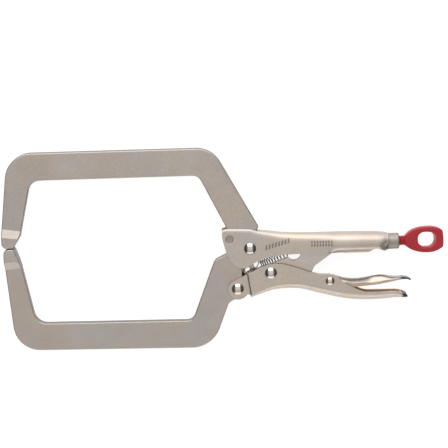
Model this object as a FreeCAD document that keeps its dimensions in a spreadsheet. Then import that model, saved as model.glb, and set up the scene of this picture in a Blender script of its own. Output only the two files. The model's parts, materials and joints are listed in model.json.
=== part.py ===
"""Locking C-clamp, about 457 mm long, as an assembly of separate pieces.

Drawing frame: the jaw pivot is at the origin, X runs along the adjusting screw towards the torque
loop, Y is the closing direction of the jaws and Z is the clamp's thickness, with the clamp
symmetric about z = 0.  At the end every piece is placed so that the clamp lies on the plane z = 0
with its bounding box centred on the Z axis.  Lengths are in millimetres.
"""
import FreeCAD, Part
import math
import os
from FreeCAD import Vector

DIMENSIONS = {
    # forged jaws
    "fixed_jaw_thickness": 10.0,
    "moving_jaw_thickness": 9.4,
    "tip_width": 17.0,
    "jaw_edge_fillet": 1.4,
    "pivot_eye_radius": 13.0,
    "handle_eye_radius": 12.0,
    "spring_tab_thickness": 4.4,
    "spring_hole_radius": 2.9,
    # stampings
    "sheet_thickness": 2.5,
    "channel_gap": 10.0,
    "lower_channel_gap": 13.0,
    "tube_bore_radius": 8.65,
    "seam_width": 0.9,
    # link and lever
    "link_thickness": 9.4,
    "link_eye_radius": 7.8,
    "link_notch_radius": 6.8,
    "lever_width": 11.8,
    "lever_gap": 8.2,
    "lever_edge_fillet": 1.5,
    # screw
    "screw_radius": 5.5,
    "spigot_radius": 3.0,
    "thread_pitch": 1.75,
    "nut_radius": 8.65,
    "loop_thickness": 9.6,
    "loop_edge_fillet": 2.0,
    "neck_crest_radius": 5.4,
    "neck_root_radius": 4.5,
    # rivets
    "rivet_radius": 4.0,
    "rivet_head_radius": 6.2,
    "rivet_head_height": 3.7,
    "lever_rivet_radius": 3.0,
    "lever_rivet_head_radius": 4.5,
    "lever_rivet_head_height": 2.9,
    "running_clearance": 0.05,
    "plug_radius": 4.3,
    "plug_recess": 0.35,
    "spacer_radius": 7.2,
    "spacer_thickness": 1.5,
    # return spring
    "spring_mean_radius": 3.0,
    "spring_wire_radius": 0.5,
    # a little off the wire's radius, so that no two surfaces coincide where they are joined
    "spring_leg_radius": 0.48,
    "spring_bend_radius": 0.56,
    "anchor_hole_radius": 1.1,
    # pivots, in the drawing frame
    "handle_pivot_x": -14.5,
    "handle_pivot_y": -41.9,
    "link_pivot_x": 20.4,
    "link_pivot_y": -26.3,
    "lever_pivot_x": 81.1,
    "lever_pivot_y": -37.6,
    "plug_x": -20.8,
    "plug_y": 11.0,
}

doc = FreeCAD.newDocument("locking_c_clamp")
sheet = doc.addObject("Spreadsheet::Sheet", "Dimensions")
for row, (alias, value) in enumerate(DIMENSIONS.items(), start=1):
    sheet.set("A%d" % row, alias)
    sheet.set("B%d" % row, str(value))
    sheet.setAlias("B%d" % row, alias)
doc.recompute()

SUB_PARTS = []
THROUGH = "60 mm"  # longer than any piece is thick
WHOLE_LENGTH = "600 mm"  # longer than the clamp
JAW_PIVOT = (0.0, 0.0)
HANDLE_PIVOT = (DIMENSIONS["handle_pivot_x"], DIMENSIONS["handle_pivot_y"])
LINK_PIVOT = (DIMENSIONS["link_pivot_x"], DIMENSIONS["link_pivot_y"])
LEVER_PIVOT = (DIMENSIONS["lever_pivot_x"], DIMENSIONS["lever_pivot_y"])
PLUG_CENTRE = (DIMENSIONS["plug_x"], DIMENSIONS["plug_y"])


def size(alias):
    """Value of one driving dimension."""
    return float(sheet.get(alias))


def running_bore(alias):
    """Radius of a bore in which the shaft of the given radius turns."""
    return size(alias) + size("running_clearance")


# ---------------------------------------------------------------- drawing helpers

def rounded(corners):
    """Closed outline from corners (x, y, fillet radius), as lines and tangent arcs."""
    count = len(corners)
    pieces = []
    for i, (x, y, radius) in enumerate(corners):
        here = Vector(x, y, 0)
        before = Vector(*corners[i - 1][:2], 0) - here
        after = Vector(*corners[(i + 1) % count][:2], 0) - here
        before.normalize()
        after.normalize()
        half_angle = before.getAngle(after) / 2
        if radius == 0:
            pieces.append((here, None, here))
            continue
        setback = radius / math.tan(half_angle)
        bisector = (before + after).normalize()
        middle = here + bisector * (radius / math.sin(half_angle) - radius)
        pieces.append((here + before * setback, middle, here + after * setback))
    geometry = []
    for i, (start, middle, end) in enumerate(pieces):
        if middle is not None:
            geometry.append(Part.Arc(start, middle, end))
        next_start = pieces[(i + 1) % count][0]
        if end.distanceToPoint(next_start) > 1e-6:
            geometry.append(Part.LineSegment(end, next_start))
    return geometry


def circle(centre, radius):
    """Circle outline in a sketch."""
    return [Part.Circle(Vector(centre[0], centre[1], 0), Vector(0, 0, 1), radius)]


def rectangle(x_low, y_low, x_high, y_high):
    """Rectangle outline in a sketch."""
    return rounded([(x_low, y_low, 0), (x_high, y_low, 0), (x_high, y_high, 0), (x_low, y_high, 0)])


def new_body(name):
    """Sub-part made of PartDesign features."""
    body = doc.addObject("PartDesign::Body", name)
    body.Label = name
    SUB_PARTS.append(body)
    return body


def new_sketch(body, name, outlines, plane="XY_Plane", offset=0.0):
    """Sketch on one of the body's own origin planes, moved along its normal by offset."""
    sketch = body.newObject("Sketcher::SketchObject", name)
    support = [item for item in body.Origin.OriginFeatures if item.Role == plane][0]
    sketch.AttachmentSupport = [(support, "")]
    sketch.MapMode = "FlatFace"
    sketch.AttachmentOffset = FreeCAD.Placement(Vector(0, 0, offset), FreeCAD.Rotation())
    for outline in outlines:
        sketch.addGeometry(outline, False)
    return sketch


def pad(body, name, outlines, thickness):
    """Material of the given thickness (an expression), centred on the mid-plane."""
    feature = body.newObject("PartDesign::Pad", name)
    feature.Profile = new_sketch(body, name + "_sketch", outlines)
    feature.SideType = "Symmetric"
    feature.setExpression("Length", thickness)


def pocket(body, name, outlines, thickness, plane="XY_Plane"):
    """Cut of the given thickness (an expression), centred on the sketch's plane."""
    doc.recompute()
    volume_before = body.Shape.Volume
    feature = body.newObject("PartDesign::Pocket", name)
    feature.Profile = new_sketch(body, name + "_sketch", outlines, plane)
    feature.SideType = "Symmetric"
    feature.setExpression("Length", thickness)
    doc.recompute()
    if body.Shape.Volume >= volume_before:
        raise RuntimeError("%s cuts nothing" % name)


def loft(body, kind, name, sections, ruled=True):
    """Loft along X through outlines drawn as (y, z) at each x; kind is Additive or Subtractive."""
    sketches = []
    for number, (x, outline) in enumerate(sections):
        sketches.append(new_sketch(body, "%s_section_%d" % (name, number), [outline], "YZ_Plane", x))
    feature = body.newObject("PartDesign::%sLoft" % kind, name)
    feature.Profile = sketches[0]
    feature.Sections = [(sketch, [""]) for sketch in sketches[1:]]
    feature.Ruled = ruled


def revolve(body, name, outline, axis, plane="XY_Plane", kind="Revolution"):
    """Full turn of a half profile about the sketch's H_Axis or V_Axis; a Groove cuts instead."""
    doc.recompute()
    feature = body.newObject("PartDesign::" + kind, name)
    sketch = new_sketch(body, name + "_sketch", [outline], plane)
    feature.Profile = sketch
    feature.ReferenceAxis = (sketch, [axis])
    feature.Angle = 360.0


def fillet_edges(body, name, radius, wanted):
    """Fillet (radius is an expression) of every edge for which wanted(edge) is true."""
    doc.recompute()
    base = body.Tip
    names = ["Edge%d" % (i + 1) for i, edge in enumerate(base.Shape.Edges) if wanted(edge)]
    feature = body.newObject("PartDesign::Fillet", name)
    feature.Base = (base, names)
    feature.setExpression("Radius", radius)
    doc.recompute()


def on_level(edge, level):
    """True for an edge that lies in the planes z = level or z = -level."""
    box = edge.BoundBox
    flat = box.ZLength < 1e-4
    return flat and abs(abs(box.Center.z) - level) < 1e-3


# ---------------------------------------------------------------- jaws

FIXED_JAW_OUTLINE = [
    (-255.7, 11.3, 5.5), (-243.6, 11.3, 2.0), (-236.4, 22.5, 6.0), (-222.2, 80.1, 10.0),
    (-49.7, 77.5, 6.0), (-22.6, 20.4, 2.0), (-26.2, 16.5, 2.0), (-25.6, 4.5, 2.5),
    (-14.8, 6.0, 1.0), (-9.5, 12.0, 3.0), (0.0, 14.4, 3.0), (7.4, 14.4, 0.5),
    (7.4, 18.2, 0.6), (9.9, 21.6, 1.6), (-34.4, 106.3, 24.0), (-244.4, 109.6, 27.0),
    (-255.7, 26.0, 15.0),
]
MOVING_JAW_OUTLINE = [
    (-254.9, 10.9, 4.5), (-255.2, -2.0, 12.0), (-248.2, -97.6, 24.0), (-43.5, -103.9, 25.0),
    (-24.5, -57.2, 6.0), (-17.0, -53.0, 0), (-9.0, -34.0, 0), (-9.0, -13.0, 2.0),
    (-7.0, -6.0, 0), (-12.0, 0.3, 0), (-37.6, -10.8, 9.0), (-63.2, -73.9, 6.0),
    (-225.9, -69.7, 9.0), (-237.6, -7.5, 8.0), (-243.4, 10.9, 2.5),
]
# thinner tab between the two eyes of the moving jaw, with the hole that takes the spring's hook
SPRING_TAB_OUTLINE = [
    (-12.0, -10.0, 0), (-2.0, -10.0, 0), (3.4, -15.4, 1.2), (3.2, -20.0, 1.6),
    (-1.4, -29.2, 2.0), (-12.0, -32.0, 0),
]
SPRING_HOLE = (-3.3, -22.9)
CHANNEL_TOP_Y = 24.0  # above this the fixed jaw has left the upper handle's channel
# the widened tips: full width from the gripping face to "full", down to the arm's thickness at "end"
FIXED_TIP = {"end": 30.5, "full": 22.4}
MOVING_TIP = {"end": -9.7, "full": -2.4}
TIP_REACH_X = -220.0  # everything further out than this belongs to the tip's end of the jaw
TIP_OVERLAP = 0.4  # the tip's block runs this far into the arm


def tip_outline(jaw_outline, y_end):
    """Corners of a jaw's outline between its gripping face and a straight line at y_end."""
    points = []
    near = [corner for corner in jaw_outline if corner[0] < TIP_REACH_X]
    side = 1 if y_end > 0 else -1
    for (x, y, radius), (next_x, next_y, _) in zip(near, near[1:] + near[:1]):
        if side * (y_end - y) > 0:
            points.append((x, y, radius))
        if (y - y_end) * (next_y - y_end) < 0:
            share = (y_end - y) / (next_y - y)
            points.append((x + share * (next_x - x), y_end, 0))
    return points


def wedge_pair(y_full, y_end, half_arm, half_tip):
    """Two triangles in the (y, z) plane that are cut away to slope the tip down to the arm."""
    reach = half_tip + 1.0
    overshoot = (y_end - y_full) / 4
    slope = (half_tip - half_arm) / (y_end - y_full)
    triangles = []
    for side in (1, -1):
        start = (y_full - overshoot, side * (half_tip + slope * overshoot), 0)
        end = (y_end + overshoot, side * (half_arm - slope * overshoot), 0)
        corner = (y_end + overshoot, side * reach, 0)
        triangles.append(rounded([start, end, corner]))
    return triangles


def add_tip_wedges(body, name, tip, half_arm, half_tip):
    """Slope of the widened tip, cut before the arm is added."""
    wedges = wedge_pair(tip["full"], tip["end"], half_arm, half_tip)
    for number, wedge in enumerate(wedges):
        pocket(body, "%s_slope_%d" % (name, number), [wedge], WHOLE_LENGTH, "YZ_Plane")


def build_jaw(name, outline, tip, thickness):
    """Tip first (so that its slopes do not touch the arm), then the arm over it."""
    body = new_body(name)
    half_arm = size(thickness) / 2
    half_tip = size("tip_width") / 2
    overlap = math.copysign(TIP_OVERLAP, tip["end"] - tip["full"])
    pad(body, name + "_tip", [rounded(tip_outline(outline, tip["end"] + overlap))],
        "Dimensions.tip_width")
    add_tip_wedges(body, name, tip, half_arm, half_tip)
    pad(body, name + "_arm", [rounded(outline)], "Dimensions." + thickness)
    return body, half_arm


def build_fixed_jaw():
    body, half_arm = build_jaw("fixed_jaw", FIXED_JAW_OUTLINE, FIXED_TIP, "fixed_jaw_thickness")

    def arm_edge(edge):
        """Edge of a side face, clear of the channel that holds the arm and of the wide tip."""
        centre = edge.BoundBox.Center
        outside_channel = centre.y > CHANNEL_TOP_Y
        on_tip = centre.x < TIP_REACH_X and centre.y < FIXED_TIP["end"] + 4.5
        return on_level(edge, half_arm) and outside_channel and not on_tip

    fillet_edges(body, "fixed_jaw_soft_edges", "Dimensions.jaw_edge_fillet", arm_edge)


def build_moving_jaw():
    body, half_arm = build_jaw("moving_jaw", MOVING_JAW_OUTLINE, MOVING_TIP,
                               "moving_jaw_thickness")
    pad(body, "jaw_pivot_eye", [circle(JAW_PIVOT, size("pivot_eye_radius"))],
        "Dimensions.moving_jaw_thickness")
    pad(body, "handle_pivot_eye", [circle(HANDLE_PIVOT, size("handle_eye_radius"))],
        "Dimensions.moving_jaw_thickness")
    pad(body, "spring_tab", [rounded(SPRING_TAB_OUTLINE)], "Dimensions.spring_tab_thickness")

    def arm_edge(edge):
        """Edge of a side face, left of and below the parts that turn inside the handles."""
        centre = edge.BoundBox.Center
        return on_level(edge, half_arm) and centre.y < -58.0 and centre.x < -30.0

    fillet_edges(body, "moving_jaw_soft_edges", "Dimensions.jaw_edge_fillet", arm_edge)
    bore = running_bore("rivet_radius")
    pocket(body, "jaw_pivot_bore", [circle(JAW_PIVOT, bore)], THROUGH)
    pocket(body, "handle_pivot_bore", [circle(HANDLE_PIVOT, bore)], THROUGH)
    pocket(body, "spring_hole", [circle(SPRING_HOLE, size("spring_hole_radius"))], THROUGH)


# ---------------------------------------------------------------- upper handle

UPPER_SIDE_OUTLINE = [
    (-28.3, 20.6, 1.5), (-27.7, 8.0, 60.0), (-22.3, -14.0, 22.0), (-9.5, -23.6, 9.5),
    (14.0, -10.2, 45.0), (40.0, -5.6, 60.0), (86.0, -9.1, 0), (86.0, -30.0, 0),
    (150.0, -30.0, 0), (150.0, 30.0, 0), (8.0, 30.0, 0), (8.0, 19.6, 0),
]
TUBE_SECTIONS = [
    # x, half width, top, bottom, top corner radius
    (-30.0, 7.5, 19.8, -26.0, 1.2),
    (8.0, 7.5, 18.4, -26.0, 4.0),
    (30.0, 7.5, 15.5, -24.0, 5.5),
    (55.0, 7.7, 13.6, -18.0, 6.8),
    (78.0, 8.6, 13.2, -12.5, 8.2),
    (90.0, 11.4, 13.1, -10.35, 11.3),
    (112.0, 11.3, 12.3, -10.6, 11.2),
    (130.0, 11.1, 11.4, -11.0, 11.0),
    (137.5, 10.7, 10.6, -10.9, 10.6),
    (142.8, 9.9, 9.7, -10.2, 9.8),
]


def tube_section(half_width, top, bottom, top_radius):
    """Cross-section in (y, z): the roof side has large corners, the open side follows it late."""
    bottom_radius = top_radius if half_width > 9.5 else 0.4
    return rounded([(bottom, -half_width, bottom_radius), (top, -half_width, top_radius),
                    (top, half_width, top_radius), (bottom, half_width, bottom_radius)])


def build_upper_handle():
    body = new_body("upper_handle")
    sections = [(x, tube_section(*section)) for x, *section in TUBE_SECTIONS]
    loft(body, "Additive", "channel_and_tube", sections)
    frame = rectangle(-60.0, -60.0, 170.0, 60.0)
    pocket(body, "side_outline", [frame, rounded(UPPER_SIDE_OUTLINE)], THROUGH)
    inside = [(-40.0, -40.0, 0), (88.0, -40.0, 0), (88.0, 9.2, 0), (55.0, 11.0, 0),
              (30.0, 12.9, 0), (8.0, 15.6, 0), (8.0, 40.0, 0), (-40.0, 40.0, 0)]
    pocket(body, "channel", [rounded(inside)], "Dimensions.channel_gap")
    bore = size("tube_bore_radius")
    loft(body, "Subtractive", "tube_bore",
         [(84.0, circle((1.3, 0.0), bore + 0.4)), (126.0, circle((0.0, 0.0), bore)),
          (145.0, circle((0.0, 0.0), bore))])
    pocket(body, "link_slot", [rectangle(70.0, -30.0, 97.5, -2.0)], "Dimensions.channel_gap")
    pocket(body, "seam", [rectangle(90.0, -30.0, 150.0, -4.0)], "Dimensions.seam_width")
    notch = [(125.8, -14.0, 0), (128.6, -7.7, 2.0), (134.5, -7.5, 4.0), (138.9, -10.0, 0),
             (140.4, -14.0, 0)]
    pocket(body, "end_notch", [rounded(notch)], THROUGH)
    pocket(body, "jaw_pivot_hole", [circle(JAW_PIVOT, size("rivet_radius"))], THROUGH)
    pocket(body, "plug_holes", [circle(PLUG_CENTRE, size("plug_radius"))], THROUGH)


# ---------------------------------------------------------------- lower handle

LOWER_SIDE_OUTLINE = [
    # upper edge, from the joggle to the tail; the lower edge comes from the sections
    (-4.8, -26.6, 0), (24.0, -15.0, 26.0), (44.0, -20.0, 60.0), (64.0, -29.0, 60.0),
    (85.6, -31.4, 8.0), (112.5, -51.0, 24.0), (148.5, -52.7, 10.0), (157.0, -56.6, 8.0),
    (162.2, -57.0, 0), (162.2, -75.0, 0), (-0.4, -75.0, 0), (-2.1, -47.4, 0),
]
LOWER_EAR_OUTLINE = [
    (-24.0, -34.9, 8.5), (-4.0, -26.4, 0), (-1.0, -26.4, 0), (-1.0, -47.4, 0),
    (-4.6, -47.4, 2.0), (-11.5, -52.1, 5.0), (-24.0, -52.1, 9.0),
]
LOWER_SECTIONS = [
    # x, half width, bottom, bottom corner radius
    (-6.0, 9.0, -54.4, 3.0), (11.0, 9.0, -48.5, 4.0), (27.0, 9.0, -45.2, 4.8),
    (45.0, 9.0, -45.3, 5.2), (65.0, 9.0, -49.8, 5.8), (90.0, 9.0, -56.6, 6.8),
    (115.0, 9.0, -60.1, 7.6), (140.0, 8.9, -60.2, 8.0), (162.2, 8.4, -59.3, 7.6),
]


def lower_section(half_width, bottom, radius, top=-8.0):
    """Cross-section in (y, z) of the channel with rolled lower corners."""
    return rounded([(bottom, -half_width, radius), (top, -half_width, 0),
                    (top, half_width, 0), (bottom, half_width, radius)])


def build_lower_handle():
    body = new_body("lower_handle")
    sheet_metal = size("sheet_thickness")
    outside = [(x, lower_section(half, bottom, radius)) for x, half, bottom, radius in LOWER_SECTIONS]
    loft(body, "Additive", "lower_channel", outside, ruled=False)
    frame = rectangle(-60.0, -90.0, 200.0, 20.0)
    pocket(body, "lower_side_outline", [frame, rounded(LOWER_SIDE_OUTLINE)], THROUGH)
    inside = [(x, lower_section(half - sheet_metal, bottom + sheet_metal, radius - sheet_metal, 0.0))
              for x, half, bottom, radius in LOWER_SECTIONS]
    loft(body, "Subtractive", "lower_channel_inside", inside, ruled=False)
    ear_width = "Dimensions.channel_gap + 2 * Dimensions.sheet_thickness"
    pad(body, "lower_handle_ears", [rounded(LOWER_EAR_OUTLINE)], ear_width)
    pocket(body, "ear_gap", [rectangle(-40.0, -80.0, -1.6, 0.0)], "Dimensions.channel_gap")
    pocket(body, "joggle_gap", [rectangle(-1.7, -80.0, 1.0, 0.0)], "Dimensions.lower_channel_gap")
    bore = running_bore("rivet_radius")
    pocket(body, "handle_pivot_bores", [circle(HANDLE_PIVOT, bore)], THROUGH)
    pocket(body, "link_rivet_holes", [circle(LINK_PIVOT, size("rivet_radius"))], THROUGH)
    pocket(body, "lever_rivet_holes", [circle(LEVER_PIVOT, size("lever_rivet_radius"))], THROUGH)


# ---------------------------------------------------------------- link and lever

LINK_OUTLINE = [
    (17.0, -19.3, 0), (37.3, -12.3, 1.4), (60.0, 1.8, 6.0), (93.3, 5.3, 5.1),
    (93.4, -3.1, 4.0), (65.6, -21.8, 7.0), (61.2, -31.2, 1.5), (44.0, -32.4, 20.0),
    (20.0, -34.0, 0), (13.6, -28.0, 0),
]
NOTCH_CENTRE = (45.9, -7.3)

LEVER_OUTLINE = [
    # upper edge, from the nose to the tail
    (56.8, -35.6, 0.8), (62.4, -34.8, 0), (64.4, -30.6, 3.0), (80.5, -30.4, 14.0),
    (102.0, -39.2, 40.0), (135.0, -34.2, 30.0), (158.0, -37.4, 30.0), (165.0, -40.3, 0),
    # lower edge, back to the nose
    (164.2, -42.0, 0.5), (156.0, -39.9, 14.0), (136.0, -44.2, 40.0), (96.0, -46.4, 10.0),
    (84.0, -44.6, 6.0), (72.0, -41.0, 6.0), (57.2, -38.4, 1.0),
]


def build_link():
    body = new_body("toggle_link")
    pad(body, "link_plate", [rounded(LINK_OUTLINE)], "Dimensions.link_thickness")
    pad(body, "link_eye", [circle(LINK_PIVOT, size("link_eye_radius"))],
        "Dimensions.link_thickness")
    pocket(body, "spring_notch", [circle(NOTCH_CENTRE, size("link_notch_radius"))], THROUGH)
    pocket(body, "link_bore", [circle(LINK_PIVOT, running_bore("rivet_radius"))], THROUGH)


def build_lever():
    body = new_body("release_lever")
    half_width = size("lever_width") / 2
    pad(body, "lever_block", [rounded(LEVER_OUTLINE)], "Dimensions.lever_width")

    def top_edge(edge):
        """Edge of a side face along the lever's back, behind its nose."""
        centre = edge.BoundBox.Center
        return on_level(edge, half_width) and centre.x > 63.0 and centre.y > -39.3

    fillet_edges(body, "rolled_top", "Dimensions.lever_edge_fillet", top_edge)
    inside = [(72.5, -60.0, 0), (72.5, -32.6, 2.0), (80.5, -32.4, 10.0), (102.0, -41.2, 36.0),
              (134.0, -36.1, 34.0), (152.0, -38.4, 6.0), (154.0, -60.0, 0)]
    pocket(body, "lever_inside", [rounded(inside)], "Dimensions.lever_gap")
    pocket(body, "lever_bore", [circle(LEVER_PIVOT, running_bore("lever_rivet_radius"))], THROUGH)


# ---------------------------------------------------------------- screw

SCREW_TIP_X = 97.2
SCREW_SHOULDER_X = 154.1
SPIGOT_END_X = 163.0
NUT_START_X = 128.0
NUT_END_X = 154.4
LOOP_NECK_X = 154.4
LOOP_FLAT_X = 160.0
SHANK_END_X = 166.5


def build_nut():
    body = new_body("screw_nut")
    outer = size("nut_radius")
    inner = size("screw_radius") + size("running_clearance")
    profile = rounded([(NUT_START_X, inner, 0), (NUT_START_X, outer, 0.8),
                       (NUT_END_X, outer, 1.6), (NUT_END_X, inner, 0.4)])
    revolve(body, "nut_turning", profile, "H_Axis")


def build_screw():
    body = new_body("adjusting_screw")
    radius = size("screw_radius")
    spigot = size("spigot_radius")
    profile = rounded([(SCREW_TIP_X, 0, 0), (SCREW_TIP_X, radius, 3.4), (SCREW_SHOULDER_X, radius, 0.3),
                       (SCREW_SHOULDER_X, spigot, 0), (SPIGOT_END_X, spigot, 0.3),
                       (SPIGOT_END_X, 0, 0)])
    revolve(body, "screw_turning", profile, "H_Axis")


LOOP_OUTLINE = [
    (159.0, 4.8, 0), (161.2, 4.8, 2.0), (171.0, 13.2, 11.0), (184.5, 14.3, 30.0),
    (199.0, 10.0, 1.6), (200.6, 0.0, 40.0), (199.0, -10.0, 1.6), (184.5, -14.3, 30.0),
    (171.0, -13.2, 11.0), (161.2, -4.8, 2.0), (159.0, -4.8, 0),
]
LOOP_HOLE = {"x": 182.3, "half_length": 9.7, "half_height": 7.1, "corner": 5.8}


def neck_profile():
    """Half profile of the neck: a ridge per pitch, then a plain shank sunk into the flat loop."""
    crest = size("neck_crest_radius")
    root = size("neck_root_radius")
    pitch = size("thread_pitch")
    profile = [(LOOP_NECK_X, 0, 0)]
    x = LOOP_NECK_X
    while x < LOOP_FLAT_X - 0.5 * pitch:
        profile += [(x, root, 0), (x + 0.35 * pitch, crest, 0), (x + 0.5 * pitch, crest, 0),
                    (x + 0.85 * pitch, root, 0)]
        x += pitch
    profile += [(x, 5.1, 0), (SHANK_END_X, 4.7, 0), (SHANK_END_X, 0, 0)]
    return profile


def build_loop():
    body = new_body("torque_loop")
    pad(body, "loop_plate", [rounded(LOOP_OUTLINE)], "Dimensions.loop_thickness")
    half_thickness = size("loop_thickness") / 2
    length, height = LOOP_HOLE["half_length"], LOOP_HOLE["half_height"]
    corner = LOOP_HOLE["corner"]
    hole = [(LOOP_HOLE["x"] + i * length, j * height, corner)
            for i, j in ((-1, -1), (1, -1), (1, 1), (-1, 1))]
    pocket(body, "loop_hole", [rounded(hole)], THROUGH)

    def flat_edge(edge):
        """Edge of a side face, clear of the threaded neck."""
        return on_level(edge, half_thickness) and edge.BoundBox.Center.x > LOOP_FLAT_X + 1.5

    fillet_edges(body, "loop_soft_edges", "Dimensions.loop_edge_fillet", flat_edge)
    revolve(body, "loop_neck", rounded(neck_profile()), "H_Axis")
    bore = running_bore("spigot_radius")
    low, high = LOOP_NECK_X - 1.0, SPIGOT_END_X + 0.5
    socket = rounded([(low, 0, 0), (low, bore, 0), (high, bore, 0), (high, 0, 0)])
    revolve(body, "spigot_socket", socket, "H_Axis", kind="Groove")


# ---------------------------------------------------------------- rivets, plugs and spacers

def build_rivet(name, centre, shank, head, height, half_grip):
    """Rivet along Z with a domed head on each side; half_grip is the height of a head's base."""
    body = new_body(name)
    top = half_grip + height
    crowns = [Vector(0, -top, 0), Vector(0, top, 0)]
    stem = [Vector(head, -half_grip, 0), Vector(shank, -half_grip, 0),
            Vector(shank, half_grip, 0), Vector(head, half_grip, 0)]
    upper_middle = dome_point(head, half_grip, top)
    lower_middle = Vector(upper_middle.x, -upper_middle.y, 0)
    geometry = [Part.LineSegment(a, b) for a, b in zip(stem, stem[1:])]
    geometry.append(Part.Arc(stem[-1], upper_middle, crowns[1]))
    geometry.append(Part.LineSegment(crowns[1], crowns[0]))
    geometry.append(Part.Arc(crowns[0], lower_middle, stem[0]))
    revolve(body, name + "_turning", geometry, "V_Axis", "XZ_Plane")
    body.Placement = FreeCAD.Placement(Vector(centre[0], centre[1], 0), FreeCAD.Rotation())


def dome_point(head, base, top):
    """Point half way round the dome that runs from (head, base) to (0, top)."""
    height = top - base
    dome = (head * head + height * height) / (2 * height)
    angle = math.asin(head / dome) / 2
    return Vector(dome * math.sin(angle), top - dome + dome * math.cos(angle), 0)


def build_disc(name, centre, radius, bore, z_low, thickness):
    """Plain disc or washer whose lower face is at z_low."""
    outer = doc.addObject("Part::Cylinder", name + "_outer")
    outer.setExpression("Radius", radius)
    outer.setExpression("Height", thickness)
    piece = outer
    if bore is not None:
        inner = doc.addObject("Part::Cylinder", name + "_bore")
        inner.setExpression("Radius", bore)
        inner.setExpression("Height", thickness)
        piece = doc.addObject("Part::Cut", name)
        piece.Base = outer
        piece.Tool = inner
    piece.Label = name
    piece.Placement = FreeCAD.Placement(Vector(centre[0], centre[1], z_low), FreeCAD.Rotation())
    SUB_PARTS.append(piece)


def build_fasteners():
    sheet_metal = size("sheet_thickness")
    half_upper = size("channel_gap") / 2 + sheet_metal
    half_lower = size("lower_channel_gap") / 2 + sheet_metal
    shank, head, height = (size("rivet_" + item) for item in ("radius", "head_radius", "head_height"))
    build_rivet("jaw_pivot_rivet", JAW_PIVOT, shank, head, height, half_upper)
    build_rivet("handle_pivot_rivet", HANDLE_PIVOT, shank, head, height,
                half_upper + size("running_clearance"))
    build_rivet("link_rivet", LINK_PIVOT, shank, head, height, half_lower)
    small = [size("lever_rivet_" + item) for item in ("radius", "head_radius", "head_height")]
    build_rivet("lever_rivet", LEVER_PIVOT, *small, half_lower)
    recess = size("plug_recess")
    plug = "Dimensions.sheet_thickness - Dimensions.plug_recess"
    half_gap = size("channel_gap") / 2
    build_disc("plug_weld_front", PLUG_CENTRE, "Dimensions.plug_radius", None, half_gap, plug)
    build_disc("plug_weld_back", PLUG_CENTRE, "Dimensions.plug_radius", None,
               -half_upper + recess, plug)
    half_link_gap = size("lower_channel_gap") / 2
    bore = "Dimensions.rivet_radius"
    thickness = size("spacer_thickness")
    build_disc("link_spacer_front", LINK_PIVOT, "Dimensions.spacer_radius", bore,
               half_link_gap - thickness, "Dimensions.spacer_thickness")
    build_disc("link_spacer_back", LINK_PIVOT, "Dimensions.spacer_radius", bore,
               -half_link_gap, "Dimensions.spacer_thickness")


# ---------------------------------------------------------------- spring and its anchor

SPRING_START = Vector(9.0, -18.0, 0)
SPRING_END = Vector(42.6, -5.0, 0)
SPRING_HOOK = Vector(-1.2, -22.3, 2.9)
ANCHOR_HOLE = Vector(47.2, -1.2, 1.9)
SPRING_TURNS = 11


def build_anchor():
    body = new_body("spring_anchor")
    lug = [(44.9, 11.7, 0), (44.9, -3.6, 1.8), (49.5, -3.6, 1.8), (49.5, 11.4, 0)]
    pad(body, "anchor_lug", [rounded(lug)], "Dimensions.sheet_thickness")
    hole = circle((ANCHOR_HOLE.x, ANCHOR_HOLE.y), size("anchor_hole_radius"))
    pocket(body, "anchor_hole", [hole], THROUGH)


def build_spring():
    """Coil swept along a helix, with a straight leg at each end that reaches its anchorage."""
    radius = size("spring_mean_radius")
    wire = size("spring_wire_radius")
    along = SPRING_END - SPRING_START
    length = along.Length
    coil = Part.makeHelix(length / SPRING_TURNS, length, radius)
    half_turn = FreeCAD.Rotation(Vector(0, 0, 1), 180)
    turn = FreeCAD.Rotation(Vector(0, 0, 1), along).multiply(half_turn)
    to_place = FreeCAD.Placement(SPRING_START, turn)
    start = to_place.multVec(Vector(radius, 0, 0))
    profile = Part.Wire(Part.makeCircle(wire, Vector(radius, 0, 0), Vector(0, 1, 0)))
    coil_wire = Part.Wire(coil.Edges)
    solid = coil_wire.makePipeShell([profile], True, True)
    solid.Placement = to_place
    ends = []
    finish = to_place.multVec(Vector(radius, 0, length))
    for corner, hook in ((start, SPRING_HOOK), (finish, ANCHOR_HOLE)):
        leg = hook - corner
        ends.append(Part.makeCylinder(size("spring_leg_radius"), leg.Length, corner, leg))
        ends.append(Part.makeSphere(size("spring_bend_radius"), corner))
        ends.append(Part.makeSphere(size("spring_bend_radius"), hook))
    shape = solid.multiFuse(ends).removeSplitter()
    if len(shape.Solids) != 1:
        raise RuntimeError("the spring is not one solid")
    feature = doc.addObject("Part::Feature", "return_spring")
    feature.Label = "return_spring"
    feature.Shape = shape
    SUB_PARTS.append(feature)


# ---------------------------------------------------------------- placing, checking and writing

def lay_on_table():
    """Move every sub-part so that the clamp's box is centred on the Z axis and stands on z = 0."""
    box = FreeCAD.BoundBox()
    for part in SUB_PARTS:
        box.add(part.Shape.optimalBoundingBox(False, False))
    shift = Vector(-box.Center.x, -box.Center.y, -box.ZMin)
    for part in SUB_PARTS:
        place = part.Placement
        part.Placement = FreeCAD.Placement(place.Base + shift, place.Rotation)
    print("size %.2f x %.2f x %.2f" % (box.XLength, box.YLength, box.ZLength))
    print("jaw pivot at %.4f %.4f %.4f" % (shift.x, shift.y, shift.z))


def check_and_write():
    doc.recompute()
    for item in doc.Objects:
        if "Invalid" in item.State or "Error" in item.State:
            raise RuntimeError("%s failed: %s" % (item.Label, item.State))
    for part in SUB_PARTS:
        if part.Shape.isNull() or not part.Shape.isValid():
            raise RuntimeError("%s has no valid shape" % part.Label)
    os.makedirs("parts", exist_ok=True)
    for part in SUB_PARTS:
        part.Shape.exportStep("parts/%s.step" % part.Label)
        print("%-20s %d solid(s) %9.1f mm3" % (part.Label, len(part.Shape.Solids),
                                               part.Shape.Volume))


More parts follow.
